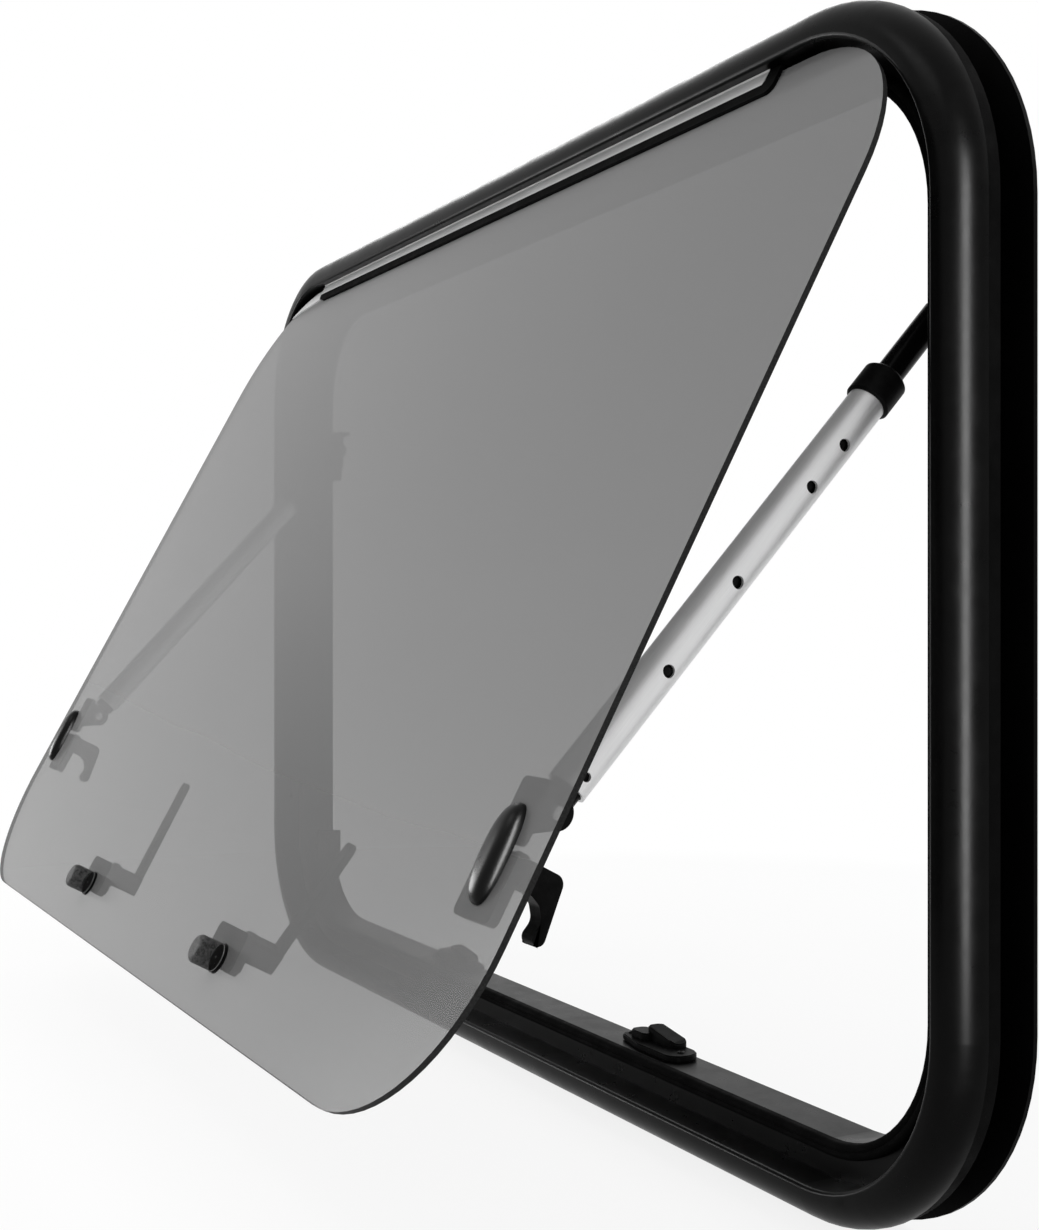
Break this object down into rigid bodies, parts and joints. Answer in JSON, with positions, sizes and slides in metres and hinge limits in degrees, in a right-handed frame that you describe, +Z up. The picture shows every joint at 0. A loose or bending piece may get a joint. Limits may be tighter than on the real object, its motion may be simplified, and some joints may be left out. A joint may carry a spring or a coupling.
{
  "type": "emergency exit window",
  "caption": "Top-hung tinted pane in a rounded black bullnose frame, held open by two telescopic stays and shut by turning levers.",
  "frame": {"origin": "on the back face of the flange's rubber band, in the plane of the wall's outer face, at mid width and in the middle of the flange's bottom run", "axes": "+X to the right seen from outside, -Y outwards, +Y into the vehicle, +Z up"},
  "size_m": [0.93, 0.3221, 0.623],
  "materials": {
    "frame_black": "satin powder coat",
    "clamp_black": "satin powder coat",
    "rubber": "matt EPDM",
    "moulded_black": "fine-grained moulded nylon",
    "gloss_black": "smooth moulded",
    "knob_grey": "worn, mottled",
    "tinted_acrylic": "polished smoked acrylic",
    "strip_aluminium": "mill finish",
    "tube_aluminium": "brushed, clear anodised",
    "rod_black": "gloss coat"
  },
  "bodies": {
    "frame": {"outer_frame": "frame_black", "wall_band": "rubber", "pane_seal": "rubber", "clamp_ring": "clamp_black", "hinge_liner": "frame_black", "striker_left": "moulded_black", "striker_right": "moulded_black", "striker_bottom_left": "moulded_black", "striker_bottom_right": "moulded_black", "stay_yoke_left": "moulded_black", "stay_yoke_right": "moulded_black"},
    "sash": {"pane": "tinted_acrylic", "hinge_strip": "strip_aluminium", "hinge_lip": "rubber", "latch_base_left": "moulded_black", "latch_base_right": "moulded_black", "latch_base_bottom_left": "moulded_black", "latch_base_bottom_right": "moulded_black", "stay_foot_left": "moulded_black", "stay_foot_right": "moulded_black", "side_cap_left": "gloss_black", "side_cap_right": "gloss_black", "bottom_knob_left": "knob_grey", "bottom_knob_right": "knob_grey", "knob_rosette_left": "gloss_black", "knob_rosette_right": "gloss_black"},
    "stay_tube_left": {"stay_tube_left": "tube_aluminium", "stay_collar_left": "moulded_black", "stay_plug_left": "moulded_black"},
    "stay_tube_right": {"stay_tube_right": "tube_aluminium", "stay_collar_right": "moulded_black", "stay_plug_right": "moulded_black"},
    "stay_rod_left": {"stay_rod_left": "rod_black", "rod_eye_left": "moulded_black"},
    "stay_rod_right": {"stay_rod_right": "rod_black", "rod_eye_right": "moulded_black"},
    "side_handle_left": {"side_handle_left": "moulded_black"},
    "side_handle_right": {"side_handle_right": "moulded_black"},
    "bottom_handle_left": {"bottom_handle_left": "moulded_black"},
    "bottom_handle_right": {"bottom_handle_right": "moulded_black"}
  },
  "joints": [
    {"name": "sash_hinge", "type": "hinge", "parent": "frame", "child": "sash", "pos_m": [0, -0.014, 0.5905], "axis": [-1, 0, 0], "range_deg": [-28.7, 16.3]},
    {"name": "stay_swing_left", "type": "hinge", "parent": "sash", "child": "stay_tube_left", "pos_m": [-0.404, -0.20348, 0.21131], "axis": [-1, 0, 0], "range_deg": [-9.8, 5.78]},
    {"name": "stay_slide_left", "type": "slide", "parent": "stay_tube_left", "child": "stay_rod_left", "axis": [0, 0.683, 0.7304], "range_m": [-0.04949, 0.02854]},
    {"name": "stay_swing_right", "type": "hinge", "parent": "sash", "child": "stay_tube_right", "pos_m": [0.404, -0.20348, 0.21131], "axis": [-1, 0, 0], "range_deg": [-9.8, 5.78]},
    {"name": "stay_slide_right", "type": "slide", "parent": "stay_tube_right", "child": "stay_rod_right", "axis": [0, 0.683, 0.7304], "range_m": [-0.04949, 0.02854]},
    {"name": "side_latch_left", "type": "hinge", "parent": "sash", "child": "side_handle_left", "pos_m": [-0.408, -0.2235, 0.18806], "axis": [0, 0.8771, -0.4802], "range_deg": [-90, 0]},
    {"name": "side_latch_right", "type": "hinge", "parent": "sash", "child": "side_handle_right", "pos_m": [0.408, -0.2235, 0.18806], "axis": [0, 0.8771, -0.4802], "range_deg": [0, 90]},
    {"name": "bottom_latch_left", "type": "hinge", "parent": "sash", "child": "bottom_handle_left", "pos_m": [-0.126, -0.26211, 0.11754], "axis": [0, 0.8771, -0.4802], "range_deg": [0, 90]},
    {"name": "bottom_latch_right", "type": "hinge", "parent": "sash", "child": "bottom_handle_right", "pos_m": [0.164, -0.26211, 0.11754], "axis": [0, 0.8771, -0.4802], "range_deg": [-90, 0]}
  ],
  "couplings": [
    {"joint": "stay_swing_left", "follows": "sash_hinge", "ratio": 0.324},
    {"joint": "stay_slide_left", "follows": "sash_hinge", "m_per_rad": 0.0968},
    {"joint": "stay_swing_right", "follows": "sash_hinge", "ratio": 0.324},
    {"joint": "stay_slide_right", "follows": "sash_hinge", "m_per_rad": 0.0968}
  ]
}
